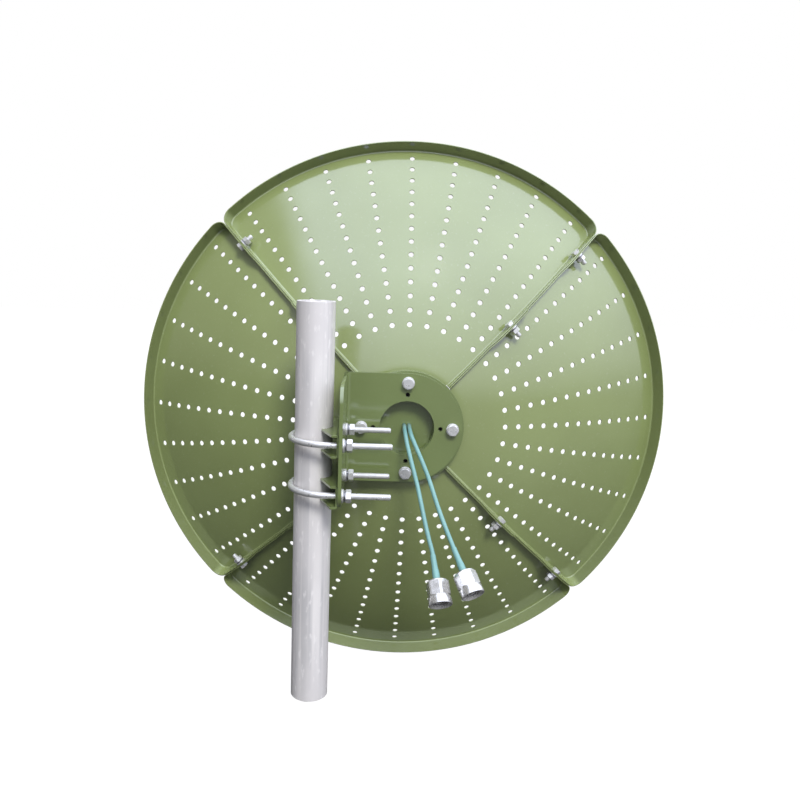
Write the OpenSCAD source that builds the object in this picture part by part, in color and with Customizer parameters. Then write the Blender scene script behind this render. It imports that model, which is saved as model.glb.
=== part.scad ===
// Parabolic grid antenna: four perforated petals bolted together at their seams, held at
// the hub between a ring and a disc, on a bent bracket that two U-bolts and two toothed
// saddles clamp to a mast tube. A feed stands on the boresight, and two coaxial pigtails
// with screw-on connectors come out of the hub at the back.
// Frame: +Z up, +Y along the boresight, origin on the mast's axis at its foot.

/* [Mast] */
// Outer diameter of the mast tube
mast_od = 33.7; // [33.7:0.1:33.7]
// Wall of the mast tube
mast_wall = 2; // [1.5:0.25:3]
// Length of the mast tube
mast_length = 362; // [345:1:420]
// Height of the boresight above the mast's foot
boresight_height = 242; // [230:1:260]
// Sideways distance from the mast's axis to the boresight
mast_offset = 84; // [84:1:84]
// Distance from the mast's axis forward to the reflector's vertex
vertex_forward = 60; // [60:1:60]

/* [Reflector] */
// Focal length of the reflector
focal_length = 187.5; // [180:0.5:195]
// Radius where the rim lip turns up
rim_radius = 270; // [268:1:274]
// Thickness of the pressed sheet
sheet = 1.2; // [1:0.1:1.4]
// Height of the rim lip and of the bolted tabs over the sheet
lip_height = 13; // [12:0.5:15]
// Gap between two neighbouring petals
seam_gap = 1.2; // [0.8:0.1:1.6]
// Radius of each petal's outer corners
corner_radius = 12; // [8:1:14]
// Diameter of a perforation
perforation = 5; // [4:0.25:6]
// Perforated rings from hub to rim
ring_count = 14; // [10:1:14]
// Perforated rows on each petal
row_count = 9; // [7:2:9]

/* [Hub] */
// Radius of the hub ring and of the hub disc
hub_radius = 54.5; // [53:0.5:56]
// Thickness of the hub ring
hub_ring_thickness = 9; // [8:0.5:10]
// Thickness of the hub disc
hub_disc_thickness = 3; // [2:0.5:4]
// Radius of the opening in bracket and hub ring
hub_opening = 26; // [24:0.5:27]
// Radius of the hub bolt circle
hub_bolt_circle = 43.3; // [43.3:0.1:43.3]
// Radius of the feed screw circle
feed_screw_circle = 32; // [32:0.1:32]

/* [Bracket] */
// Thickness of the bracket plate
plate = 3; // [2.5:0.25:4]
// Radius of the bracket's round end, and half its height
bracket_radius = 52.3; // [51:0.1:53]
// Distance from the boresight to the flange's inner face
flange_offset = 57; // [57:1:57]
// Depth of the flange behind the plate
flange_depth = 98; // [95:1:100]
// Height of the upper clamp over the boresight
upper_clamp = 1.3; // [0:0.1:3]
// Height of the lower clamp over the boresight
lower_clamp = -42.3; // [-42.3:0.1:-41]

/* [Clamps] */
// Diameter of the U-bolt rod
rod = 5.5; // [5.3:0.1:6]
// Distance from the mast's axis plane to each leg
leg_offset = 33.5; // [32:0.5:34]
// Length of a saddle along the boresight
saddle_length = 80; // [80:1:84]
// Height of a saddle
saddle_height = 20; // [18:1:21]

/* [Feed] */
// Outer diameter of the feed tube
feed_tube_od = 32; // [28:1:34]
// Outer diameter of the radome cap
radome_od = 66; // [60:1:70]

/* [Pigtails] */
// Diameter of the coaxial cable
cable_d = 4; // [3.6:0.1:4.1]
// Width across the flats of a coupling nut
coupling_flats = 18; // [17:0.5:19]

/* [Hidden] */
$fn = 72;

OLIVE = [0.42, 0.5, 0.3];
ZINC = [0.8, 0.81, 0.82];
STEEL = [0.62, 0.62, 0.62];
GALVANISED = [0.78, 0.79, 0.8];
ALUMINIUM = [0.72, 0.73, 0.74];
RADOME = [0.85, 0.86, 0.84];
BOARD = [0.12, 0.35, 0.2];
RUBBER = [0.1, 0.1, 0.1];
TEAL = [0.45, 0.76, 0.79];
NICKEL = [0.88, 0.88, 0.86];
GOLD = [0.83, 0.66, 0.3];
PTFE = [0.95, 0.95, 0.93];

// Running gap between the clamp and the mast, and inside a coupling nut
running_gap = 0.05;

// ---- metric hardware: [thread, head or nut flats, head height, nut height]
M4 = [4, 7, 4, 3.2];
M5 = [5, 8, 3.5, 4];
M6 = [6, 10, 4, 5];

// ---- reflector surface, in the plane of radius and depth
function slope_at(r) = atan(r / (2 * focal_length));
function dish_point(r) = [r, r * r / (4 * focal_length)];
function rear_normal(r) = [sin(slope_at(r)), -cos(slope_at(r))];
function outward(r) = [cos(slope_at(r)), sin(slope_at(r))];
// A point at height h over the sheet's rear face; negative h is inside the sheet
function above(r, h) = dish_point(r) + h * rear_normal(r);

// ---- perforations: rings at equal steps along the sheet, rows at equal angles
first_ring = 97;
ring_pitch = 14.02;
row_pitch = 9.88;
function ring_radius(k) =
    k == 0 ? first_ring
           : let (r = ring_radius(k - 1)) r + ring_pitch * cos(slope_at(r + ring_pitch / 2));

// The petals are flat inside this radius, where the hub clamps them. Outside it the sheet
// is a stack of cones that meet half way between the rings of perforations.
flat_radius = 57;
petal_inner_radius = 37;
hub_depth = dish_point(flat_radius)[1];
lip_radius = rim_radius - sheet;
dish_steps = concat(
    [flat_radius, 73, 90],
    [for (k = [1:13]) (ring_radius(k - 1) + ring_radius(k)) / 2],
    [lip_radius]
);

// ---- seam flange: height over the sheet along the radius, with two raised tabs
seam_start = 55.5;
flange_low = 5;
flange_mid = 7;
inner_ramp = [107, 120];
inner_tab_end = 157;
outer_ramp = [209, 220];
seam_bolt_radii = [135, 233.5];
seam_bolt_height = 8.5;
seam_bolt_hole = 5.5;
flange_face = seam_gap / 2 + sheet;

// ---- hub stack along the boresight, from the vertex
ring_rear = hub_depth - hub_ring_thickness;
plate_rear = ring_rear - plate;
disc_rear = hub_depth + sheet;
disc_front = disc_rear + hub_disc_thickness;
hub_bolt_length = 30;
hub_bolt_hole = 6.6;

// ---- washers: [inner diameter, outer diameter, thickness]
FLAT_M6 = [6.4, 12, 1.6];
SPRING_M6 = [6.2, 10.4, 1.6];
FLAT_M5 = [5.3, 10, 1];
SPRING_M5 = [5.1, 8.6, 1.3];

// ---- bracket, in the frame of the boresight
bend_radius = 3;
flange_corner = 14;
flange_far_face = -flange_offset - plate;

// ---- clamp, in the frame of the mast
mast_r = mast_od / 2;
flange_x = mast_offset + flange_far_face;
clamp_r = mast_r + running_gap;
crown_x = leg_offset - clamp_r - rod / 2;
leg_tip_x = 68.6;
saddle_wall = 2;
saddle_tip_x = 7.6;
saddle_shoulder_x = 17.5;
tooth_pitch = 8;
tooth_depth = 1.1;

// ---- feed, distances along the boresight from the vertex
feed_base_front = disc_front + 4;
feed_collar_front = disc_front + 22;
feed_tube_wall = 1.5;
feed_plate_rear = 152;
feed_plate_front = 157;
board_rear = feed_plate_front;
board_front = 196;
reflector_front = 198;
radome_front = 204;
radome_wall = 2;
board_thickness = 1;
board_width = 40;
collar_r = feed_tube_od / 2 + 3;
spot_depth = 0.5;
coax_x = [-1.8, 2.8];
coax_hole = 4.3;

// ---- pigtails: exit, route and connector axis; each route is straight at both ends
cable_a_route = [
    [82.2, 65.5, 242], [82.2, 59, 242], [82, 53, 241.3], [82.3, 47, 239.5],
    [82.9, 41.5, 236.4], [83.8, 36.5, 232.1], [85.2, 32, 226.8], [87, 27.8, 220.5],
    [89.2, 23, 213], [91.6, 17.6, 205], [93.9, 12, 197], [95.9, 6.3, 189],
    [98.1, 0.3, 179.8], [100.1, -4.6, 171.6], [102.1, -9.4, 163.8], [104.5, -14.6, 155.4],
    [107.1, -20.4, 147.1], [108.8, -29.2, 137.6], [110.5, -38, 128.1]
];
cable_b_route = [
    [86.8, 65.5, 242], [86.8, 59, 242], [86.8, 53, 241.4], [87.3, 47, 239.7],
    [88.4, 41.5, 236.8], [90.4, 36.5, 232.6], [93.1, 32, 227.2], [96.4, 27.2, 220.4],
    [100.1, 22, 212.6], [103.7, 16.2, 204.4], [106.9, 10, 196], [109.9, 3.9, 187.7],
    [113, -2.2, 179.6], [116.4, -8.5, 171.6], [120.2, -14.9, 163.2], [124.4, -21.6, 154.2],
    [128.7, -30.3, 145.5], [133, -39, 136.8]
];
// A connector's axis runs along its cable's last stretch
function last_step(route) = route[len(route) - 1] - route[len(route) - 2];
function end_point(route) = route[len(route) - 1];

// ---- shared shapes
module hexagon(flats, height) {
    cylinder(d = flats / cos(30), h = height, $fn = 6);
}

module washer(size) {
    difference() {
        cylinder(d = size[1], h = size[2]);
        translate([0, 0, -1]) cylinder(d = size[0], h = size[2] + 2);
    }
}

// A spring washer has a narrow split
module spring_washer(size) {
    difference() {
        washer(size);
        translate([0, -0.4, -1]) cube([size[1], 0.8, size[2] + 2]);
    }
}

// Head at the origin with the shank along +Z from its underside
module hex_bolt(metric, length) {
    translate([0, 0, -metric[2]]) intersection() {
        hexagon(metric[1], metric[2]);
        cylinder(r1 = metric[1] * 0.52, r2 = metric[1] * 0.7, h = metric[2]);
    }
    cylinder(d = metric[0], h = length);
}

module nut(metric, bore) {
    difference() {
        hexagon(metric[1], metric[3]);
        translate([0, 0, -1]) cylinder(d = bore, h = metric[3] + 2);
    }
}

// Local frame of the reflector: z along the boresight, x right, y down
module on_boresight() {
    translate([mast_offset, vertex_forward, boresight_height]) rotate([-90, 0, 0]) children();
}

module at_quarters(radius) {
    for (i = [0:3]) rotate([0, 0, 90 * i]) translate([radius, 0, 0]) children();
}

// ---- mast
module mast_tube() {
    color(GALVANISED) difference() {
        cylinder(d = mast_od, h = mast_length);
        translate([0, 0, -1]) cylinder(d = mast_od - 2 * mast_wall, h = mast_length + 2);
    }
}

// ---- petals: a pressed sheet with a rim lip, two seam flanges and rounded corners
sheet_outline = concat(
    [[petal_inner_radius, hub_depth]],
    [for (r = dish_steps) dish_point(r)],
    [above(lip_radius, lip_height), above(lip_radius, lip_height) + sheet * outward(lip_radius)],
    [above(lip_radius, -sheet) + sheet * outward(lip_radius)],
    [for (i = [len(dish_steps) - 1:-1:0]) above(dish_steps[i], -sheet)],
    [[petal_inner_radius, hub_depth + sheet]]
);

function flange_height(r) =
    r < inner_ramp[0] ? flange_low :
    r < inner_ramp[1] ? flange_low + (lip_height - flange_low)
                        * (r - inner_ramp[0]) / (inner_ramp[1] - inner_ramp[0]) :
    r < inner_tab_end ? lip_height :
    r < outer_ramp[0] ? flange_mid :
    r < outer_ramp[1] ? flange_mid + (lip_height - flange_mid)
                        * (r - outer_ramp[0]) / (outer_ramp[1] - outer_ramp[0]) :
    lip_height;

flange_radii = concat(
    [seam_start, 72, 90, inner_ramp[0], inner_ramp[1], 138, inner_tab_end - 0.6],
    [inner_tab_end, 174, 192, outer_ramp[0], outer_ramp[1], 236, 252, lip_radius]
);
flange_outline = concat(
    [for (r = flange_radii) above(r, flange_height(r))],
    [for (i = [len(dish_steps) - 1:-1:0]) above(dish_steps[i], -sheet / 2)]
);

// Flange on the clockwise side of a petal, in the plane of its seam
module seam_flange() {
    rotate([0, 0, 45]) translate([0, -seam_gap / 2, 0]) rotate([90, 0, 0])
        linear_extrude(sheet) polygon(flange_outline);
}

// Centre of a rounded corner, and the sheet's slope there
corner_reach = rim_radius - corner_radius * cos(slope_at(rim_radius - corner_radius));
corner_side = seam_gap / 2 + corner_radius;
corner_lean = asin(corner_side / corner_reach);
module at_corner() {
    rotate([0, 0, 45 - corner_lean]) translate([corner_reach, 0, dish_point(corner_reach)[1]])
        rotate([0, -slope_at(corner_reach), 0]) children();
}

module corner_sector(height) {
    reach = 3 * corner_radius;
    linear_extrude(height, center = true)
        polygon([[0, 0], [reach, 0], [reach, reach], [-reach * sin(corner_lean), reach]]);
}

module corner_cut() {
    at_corner() difference() {
        corner_sector(60);
        cylinder(r = corner_radius, h = 80, center = true, $fn = 12);
    }
}

module corner_wall() {
    at_corner() intersection() {
        corner_sector(60);
        translate([0, 0, -lip_height]) difference() {
            cylinder(r = corner_radius, h = lip_height + sheet, $fn = 12);
            translate([0, 0, -1])
                cylinder(r = corner_radius - sheet, h = lip_height + sheet + 2, $fn = 12);
        }
    }
}

module perforations() {
    for (row = [-(row_count - 1) / 2:(row_count - 1) / 2], k = [0:ring_count - 1])
        rotate([0, 0, row * row_pitch])
            translate([ring_radius(k), 0, dish_point(ring_radius(k))[1]])
                rotate([0, -slope_at(ring_radius(k)), 0])
                    translate([0, 0, -2]) cylinder(d = perforation, h = 6);
}

module seam_bolt_holes() {
    for (r = seam_bolt_radii)
        rotate([0, 0, 45]) at_seam_bolt(r)
            cylinder(d = seam_bolt_hole, h = 12, center = true);
}

// On the seam's plane, with z across the seam in the clockwise direction
module at_seam_bolt(r) {
    p = above(r, seam_bolt_height);
    translate([p[0], 0, p[1]]) rotate([-90, 0, 0]) children();
}

module petal(angle) {
    half_gap = seam_gap / 2 * sqrt(2);
    reach = 400;
    color(OLIVE) on_boresight() rotate([0, 0, angle]) difference() {
        union() {
            difference() {
                union() {
                    intersection() {
                        rotate([0, 0, -50]) rotate_extrude(angle = 100) polygon(sheet_outline);
                        translate([0, 0, -20]) linear_extrude(140)
                            polygon([[half_gap, 0], [half_gap + reach, reach], [half_gap + reach, -reach]]);
                    }
                    seam_flange();
                    mirror([0, 1, 0]) seam_flange();
                }
                corner_cut();
                mirror([0, 1, 0]) corner_cut();
            }
            corner_wall();
            mirror([0, 1, 0]) corner_wall();
        }
        perforations();
        seam_bolt_holes();
        mirror([0, 1, 0]) seam_bolt_holes();
        translate([hub_bolt_circle, 0, hub_depth - 1]) cylinder(d = hub_bolt_hole, h = sheet + 2);
    }
}

module petal_right() { petal(0); }
module petal_bottom() { petal(90); }
module petal_left() { petal(180); }
module petal_top() { petal(270); }

// ---- seam hardware: every bolt points clockwise as seen from behind
module at_seam_bolts() {
    on_boresight() for (i = [0:3], r = seam_bolt_radii)
        rotate([0, 0, 45 + 90 * i]) at_seam_bolt(r) children();
}

module seam_bolts() {
    color(ZINC) at_seam_bolts() translate([0, 0, -flange_face]) hex_bolt(M5, 14);
}

module seam_flat_washers() {
    color(ZINC) at_seam_bolts() translate([0, 0, flange_face]) washer(FLAT_M5);
}

module seam_spring_washers() {
    color(STEEL) at_seam_bolts()
        translate([0, 0, flange_face + FLAT_M5[2]]) spring_washer(SPRING_M5);
}

module seam_nuts() {
    color(ZINC) at_seam_bolts()
        translate([0, 0, flange_face + FLAT_M5[2] + SPRING_M5[2]]) nut(M5, M5[0]);
}

// ---- hub
module hub_ring() {
    color(OLIVE) on_boresight() translate([0, 0, ring_rear]) difference() {
        cylinder(r = hub_radius, h = hub_ring_thickness);
        translate([0, 0, -1]) cylinder(r = hub_opening, h = hub_ring_thickness + 2);
        at_quarters(hub_bolt_circle)
            translate([0, 0, -1]) cylinder(d = hub_bolt_hole, h = hub_ring_thickness + 2);
        at_quarters(feed_screw_circle)
            translate([0, 0, -1]) cylinder(d = M4[0], h = hub_ring_thickness + 2);
    }
}

module hub_disc() {
    color(OLIVE) on_boresight() translate([0, 0, disc_rear]) difference() {
        cylinder(r = hub_radius, h = hub_disc_thickness);
        at_quarters(hub_bolt_circle)
            translate([0, 0, -1]) cylinder(d = hub_bolt_hole, h = hub_disc_thickness + 2);
        at_quarters(feed_screw_circle)
            translate([0, 0, -1]) cylinder(d = M4[0] + 0.5, h = hub_disc_thickness + 2);
        for (x = coax_x) translate([x, 0, -1])
            cylinder(d = coax_hole, h = hub_disc_thickness + 2);
    }
}

module hub_bolts() {
    color(ZINC) on_boresight() at_quarters(hub_bolt_circle)
        translate([0, 0, plate_rear - FLAT_M6[2]]) hex_bolt(M6, hub_bolt_length);
}

module hub_bolt_washers() {
    color(ZINC) on_boresight() at_quarters(hub_bolt_circle)
        translate([0, 0, plate_rear - FLAT_M6[2]]) washer(FLAT_M6);
}

module hub_flat_washers() {
    color(ZINC) on_boresight() at_quarters(hub_bolt_circle)
        translate([0, 0, disc_front]) washer(FLAT_M6);
}

module hub_spring_washers() {
    color(STEEL) on_boresight() at_quarters(hub_bolt_circle)
        translate([0, 0, disc_front + FLAT_M6[2]]) spring_washer(SPRING_M6);
}

module hub_nuts() {
    color(ZINC) on_boresight() at_quarters(hub_bolt_circle)
        translate([0, 0, disc_front + FLAT_M6[2] + SPRING_M6[2]]) nut(M6, M6[0]);
}

// ---- bracket: a plate with a round end, bent back into a flange beside the mast
module bracket_section() {
    bend = [bend_radius - flange_offset, plate_rear - bend_radius];
    difference() {
        union() {
            translate([bend[0], plate_rear]) square([-bend[0], plate]);
            translate([flange_far_face, plate_rear - flange_depth])
                square([plate, flange_depth - bend_radius]);
            intersection() {
                translate(bend) circle(r = bend_radius + plate);
                translate([flange_far_face, bend[1]]) square([bend_radius + plate, bend_radius + plate]);
            }
        }
        translate(bend) circle(r = bend_radius);
    }
}

module bracket_corner(side) {
    flange_end = plate_rear - flange_depth;
    translate([flange_far_face - 1, side * (bracket_radius - flange_corner), flange_end + flange_corner])
        difference() {
            translate([0, side > 0 ? 0 : -2 * flange_corner, -2 * flange_corner])
                cube([plate + 2, 2 * flange_corner, 2 * flange_corner]);
            rotate([0, 90, 0]) cylinder(r = flange_corner, h = plate + 2);
        }
}

module bracket() {
    color(OLIVE) on_boresight() difference() {
        union() {
            rotate([90, 0, 0]) linear_extrude(2 * bracket_radius, center = true) bracket_section();
            translate([0, 0, plate_rear]) intersection() {
                cylinder(r = bracket_radius, h = plate);
                translate([0, -bracket_radius, 0]) cube([bracket_radius, 2 * bracket_radius, plate]);
            }
        }
        bracket_corner(1);
        bracket_corner(-1);
        translate([0, 0, plate_rear - 1]) cylinder(r = hub_opening, h = plate + 2);
        at_quarters(hub_bolt_circle)
            translate([0, 0, plate_rear - 1]) cylinder(d = hub_bolt_hole, h = plate + 2);
        at_quarters(feed_screw_circle)
            translate([0, 0, plate_rear - 1]) cylinder(d = M4[0] + 0.3, h = plate + 2);
        for (clamp = [upper_clamp, lower_clamp], side = [-1, 1])
            translate([flange_far_face - 1, -clamp, side * leg_offset - vertex_forward])
                rotate([0, 90, 0]) cylinder(d = hub_bolt_hole, h = plate + 2);
    }
}

// ---- clamps: a U-bolt and a toothed channel each, centred on the mast's axis
module at_clamp(height) {
    translate([0, 0, boresight_height + height]) children();
}

module saddle_section() {
    outer = 3;
    difference() {
        translate([0, -saddle_height / 2]) square([flange_x, saddle_height]);
        translate([-1, saddle_wall - saddle_height / 2])
            square([flange_x - saddle_wall + 1, saddle_height - 2 * saddle_wall]);
        for (side = [0, 1]) mirror([0, side]) translate([flange_x - outer, saddle_height / 2 - outer])
            difference() {
                square([outer + 1, outer + 1]);
                circle(r = outer);
            }
    }
}

module saddle_plan() {
    polygon([
        [flange_x, -saddle_length / 2], [saddle_shoulder_x, -saddle_length / 2],
        [saddle_tip_x, -clamp_r + 1.4], [saddle_tip_x, clamp_r - 1.4],
        [saddle_shoulder_x, saddle_length / 2], [flange_x, saddle_length / 2]
    ]);
}

module saddle(height) {
    color(OLIVE) at_clamp(height) difference() {
        intersection() {
            rotate([90, 0, 0]) linear_extrude(saddle_length, center = true) saddle_section();
            linear_extrude(saddle_height + 2, center = true) saddle_plan();
        }
        cylinder(r = clamp_r, h = saddle_height + 2, center = true);
        for (a = [-7:7]) rotate([0, 0, a * tooth_pitch]) translate([clamp_r, 0, 0])
            linear_extrude(saddle_height + 2, center = true)
                polygon([[-0.6, -1.15], [tooth_depth, 0], [-0.6, 1.15]]);
        for (side = [-1, 1]) translate([flange_x - saddle_wall - 1, side * leg_offset, 0])
            rotate([0, 90, 0]) cylinder(d = hub_bolt_hole, h = saddle_wall + 2);
    }
}

module saddle_upper() { saddle(upper_clamp); }
module saddle_lower() { saddle(lower_clamp); }

module u_bolt(height) {
    color(ZINC) at_clamp(height) {
        translate([crown_x, 0, 0]) rotate([0, 0, 90]) rotate_extrude(angle = 180)
            translate([leg_offset, 0]) circle(d = rod, $fn = 32);
        for (side = [-1, 1]) translate([crown_x, side * leg_offset, 0])
            rotate([0, 90, 0]) cylinder(d = rod, h = leg_tip_x - crown_x);
    }
}

module u_bolt_upper() { u_bolt(upper_clamp); }
module u_bolt_lower() { u_bolt(lower_clamp); }

module at_legs(gap) {
    for (height = [upper_clamp, lower_clamp], side = [-1, 1])
        at_clamp(height) translate([flange_x + plate + gap, side * leg_offset, 0])
            rotate([0, 90, 0]) children();
}

module u_bolt_flat_washers() {
    color(ZINC) at_legs(0) washer([FLAT_M6[0], FLAT_M6[1], FLAT_M6[2]]);
}

module u_bolt_spring_washers() {
    color(STEEL) at_legs(FLAT_M6[2]) spring_washer(SPRING_M6);
}

module u_bolt_nuts() {
    color(ZINC) at_legs(FLAT_M6[2] + SPRING_M6[2]) nut(M6, rod);
}

// ---- feed: flanged base, tube, crossed dipole boards and back reflector in a radome
module feed_base() {
    color(ALUMINIUM) on_boresight() difference() {
        union() {
            translate([0, 0, disc_front]) cylinder(r = feed_screw_circle + 4.5, h = 4);
            translate([0, 0, disc_front]) cylinder(r = collar_r, h = feed_collar_front - disc_front);
        }
        translate([0, 0, feed_base_front]) cylinder(d = feed_tube_od, h = 40);
        translate([0, 0, disc_front - 1]) cylinder(r = 8, h = 20);
        at_quarters(feed_screw_circle)
            translate([0, 0, disc_front - 1]) cylinder(d = M4[0] + 0.5, h = 8);
        for (i = [0:2]) rotate([0, 0, 120 * i + 30])
            translate([0, 0, feed_collar_front - 7]) rotate([0, 90, 0]) {
                cylinder(d = M4[0], h = 30);
                translate([0, 0, collar_r - spot_depth]) cylinder(d = M4[1] + 0.4, h = 5);
            }
    }
}

module feed_screws() {
    color(ZINC) on_boresight() at_quarters(feed_screw_circle)
        translate([0, 0, feed_base_front]) mirror([0, 0, 1]) difference() {
            union() {
                translate([0, 0, -M4[2]]) cylinder(d = M4[1], h = M4[2]);
                cylinder(d = M4[0], h = 10);
            }
            translate([0, 0, -M4[2] - 1]) cylinder(d = 3.4, h = 3, $fn = 6);
        }
}

module feed_tube() {
    color(ALUMINIUM) on_boresight() difference() {
        translate([0, 0, feed_base_front])
            cylinder(d = feed_tube_od, h = feed_plate_rear + 3 - feed_base_front);
        translate([0, 0, feed_base_front - 1])
            cylinder(d = feed_tube_od - 2 * feed_tube_wall, h = 200);
        for (i = [0:2]) rotate([0, 0, 120 * i + 30])
            translate([0, 0, feed_collar_front - 7]) rotate([0, 90, 0]) cylinder(d = M4[0], h = 30);
    }
}

module feed_tube_screws() {
    inner = feed_tube_od / 2 - feed_tube_wall - 1;
    head = collar_r - spot_depth;
    color(ZINC) on_boresight() for (i = [0:2]) rotate([0, 0, 120 * i + 30])
        translate([0, 0, feed_collar_front - 7]) rotate([0, 90, 0]) difference() {
            union() {
                translate([0, 0, inner]) cylinder(d = M4[0], h = head - inner);
                translate([0, 0, head]) cylinder(d = M4[1], h = 2.7);
            }
            translate([0, 0, head + 1.2]) cylinder(d = 3.4, h = 3, $fn = 6);
        }
}

module feed_back_plate() {
    inner_r = radome_od / 2 - radome_wall;
    color(RADOME) on_boresight() difference() {
        union() {
            translate([0, 0, feed_plate_rear]) cylinder(r = inner_r, h = feed_plate_front - feed_plate_rear);
            translate([0, 0, feed_plate_rear - 12]) cylinder(d = feed_tube_od + 5, h = 12);
        }
        translate([0, 0, feed_plate_rear - 13]) cylinder(d = feed_tube_od, h = 16);
        for (x = coax_x) translate([x, 0, feed_plate_rear])
            cylinder(d = coax_hole, h = 8);
        translate([0, 0, feed_plate_rear + 1.5]) difference() {
            cylinder(r = inner_r + 1, h = 2);
            translate([0, 0, -1]) cylinder(r = inner_r - 1.5, h = 4);
        }
    }
}

module feed_seal() {
    inner_r = radome_od / 2 - radome_wall;
    color(RUBBER) on_boresight() translate([0, 0, feed_plate_rear + 1.5]) difference() {
        cylinder(r = inner_r, h = 2);
        translate([0, 0, -1]) cylinder(r = inner_r - 1.5, h = 4);
    }
}

// Each board is cut half way, so that the pair slots together on the boresight
module dipole_board(slot_low, slot_high) {
    slot = board_thickness;
    difference() {
        translate([-board_width / 2, -board_thickness / 2, board_rear])
            cube([board_width, board_thickness, board_front - board_rear]);
        translate([-slot / 2, -2, slot_low]) cube([slot, 4, slot_high - slot_low]);
        for (side = [-1, 1]) translate([side * board_width / 2, 0, board_rear]) rotate([90, 0, 0])
            cylinder(r = 12, h = 4, center = true);
    }
}

board_middle = (board_rear + board_front) / 2;
module feed_board_h() {
    color(BOARD) on_boresight() dipole_board(board_middle, board_front + 1);
}

module feed_board_v() {
    color(BOARD) on_boresight() rotate([0, 0, 90]) dipole_board(board_rear - 1, board_middle);
}

module feed_reflector() {
    color(ALUMINIUM) on_boresight() translate([0, 0, board_front])
        cylinder(d = radome_od - 10, h = reflector_front - board_front);
}

module feed_radome() {
    inner_r = radome_od / 2 - radome_wall;
    edge = 6;
    color(RADOME) on_boresight() rotate_extrude() difference() {
        union() {
            translate([0, feed_plate_rear]) square([radome_od / 2, radome_front - edge - feed_plate_rear]);
            translate([0, radome_front - edge]) square([radome_od / 2 - edge, edge]);
            intersection() {
                translate([radome_od / 2 - edge, radome_front - edge]) circle(r = edge);
                translate([0, feed_plate_rear]) square([radome_od, 100]);
            }
        }
        translate([-1, feed_plate_rear - 1]) square([inner_r + 1, radome_front - edge + 1 - feed_plate_rear]);
        translate([-1, feed_plate_rear]) square([inner_r - 4, radome_front - radome_wall - feed_plate_rear]);
    }
}

module feed_coax(x) {
    color(TEAL) on_boresight() translate([x, 0, disc_rear])
        cylinder(d = cable_d, h = board_rear - disc_rear);
}

module feed_coax_h() { feed_coax(coax_x[0]); }
module feed_coax_v() { feed_coax(coax_x[1]); }

// ---- pigtails
function unit(v) = v / norm(v);
function heading(route, i) =
    i == 0 ? unit(route[1] - route[0]) :
    i == len(route) - 1 ? unit(route[i] - route[i - 1]) :
    unit(unit(route[i + 1] - route[i]) + unit(route[i] - route[i - 1]));

// An eight-sided tube swept along the route; the route never runs along the X axis
module swept_tube(route, radius) {
    sides = 8;
    rings = len(route);
    points = [for (i = [0:rings - 1], s = [0:sides - 1])
        let (d = heading(route, i), u = unit(cross([1, 0, 0], d)), v = cross(d, u))
        route[i] + radius * (cos(360 * s / sides) * u + sin(360 * s / sides) * v)];
    walls = [for (i = [0:rings - 2], s = [0:sides - 1])
        let (a = i * sides + s, b = i * sides + (s + 1) % sides)
        each [[a, a + sides, b + sides], [a, b + sides, b]]];
    first = [for (s = [0:sides - 1]) s];
    last = [for (s = [sides - 1:-1:0]) (rings - 1) * sides + s];
    polyhedron(points, concat(walls, [first, last]));
}

// Stand a connector part at the end of a route, its z axis along the last stretch
module on_plug(route) {
    d = unit(last_step(route));
    translate(end_point(route)) rotate([0, acos(d[2]), atan2(d[1], d[0])]) children();
}

module cable(route) {
    color(TEAL) swept_tube(route, cable_d / 2);
}
module cable_a() { cable(cable_a_route); }
module cable_b() { cable(cable_b_route); }

// Lengths inside a connector, from the cable's end, and radii
sleeve_length = 23;
ferrule_length = 7;
ferrule_r = 2.7;
neck_r = 6;
nut_rear = 0;
nut_wall = 2.4;
nut_length = 21;
nut_cavity_r = 8.3;
nut_thread_r = 7.6;
nut_rim_r = 10.2;
cable_bore = cable_d / 2 + 0.05;

module sleeve(route) {
    color(TEAL) on_plug(route) translate([0, 0, -sleeve_length - 1]) difference() {
        union() {
            cylinder(r1 = 2.45, r2 = 2.65, h = 12);
            translate([0, 0, 12]) cylinder(r1 = 2.65, r2 = 3.2, h = 4);
            translate([0, 0, 16]) cylinder(r = 3.2, h = sleeve_length - 16);
        }
        translate([0, 0, -1]) cylinder(r = cable_bore, h = 60);
        translate([0, 0, sleeve_length - ferrule_length]) cylinder(r = ferrule_r, h = 60);
    }
}
module sleeve_a() { sleeve(cable_a_route); }
module sleeve_b() { sleeve(cable_b_route); }

// Body: ferrule, rear collar, neck, flange and slotted outer contact
module connector_body(route) {
    color(NICKEL) on_plug(route) difference() {
        union() {
            translate([0, 0, -ferrule_length - 1]) cylinder(r = ferrule_r, h = ferrule_length + 2);
            translate([0, 0, -1]) cylinder(r1 = 6.4, r2 = 7.2, h = 0.95);
            translate([0, 0, -0.1]) cylinder(r = neck_r, h = 3);
            translate([0, 0, nut_wall + running_gap]) cylinder(r = 7.2, h = 4);
            translate([0, 0, 6]) cylinder(r = 4.1, h = 12);
        }
        translate([0, 0, -ferrule_length - 2]) cylinder(r = cable_bore, h = ferrule_length + 2.05);
        translate([0, 0, 1.5]) cylinder(r = 3.5, h = 30);
        for (a = [0:2]) rotate([0, 0, 60 * a]) translate([-6, -0.3, 10]) cube([12, 0.6, 10]);
    }
}
module connector_body_a() { connector_body(cable_a_route); }
module connector_body_b() { connector_body(cable_b_route); }

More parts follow.
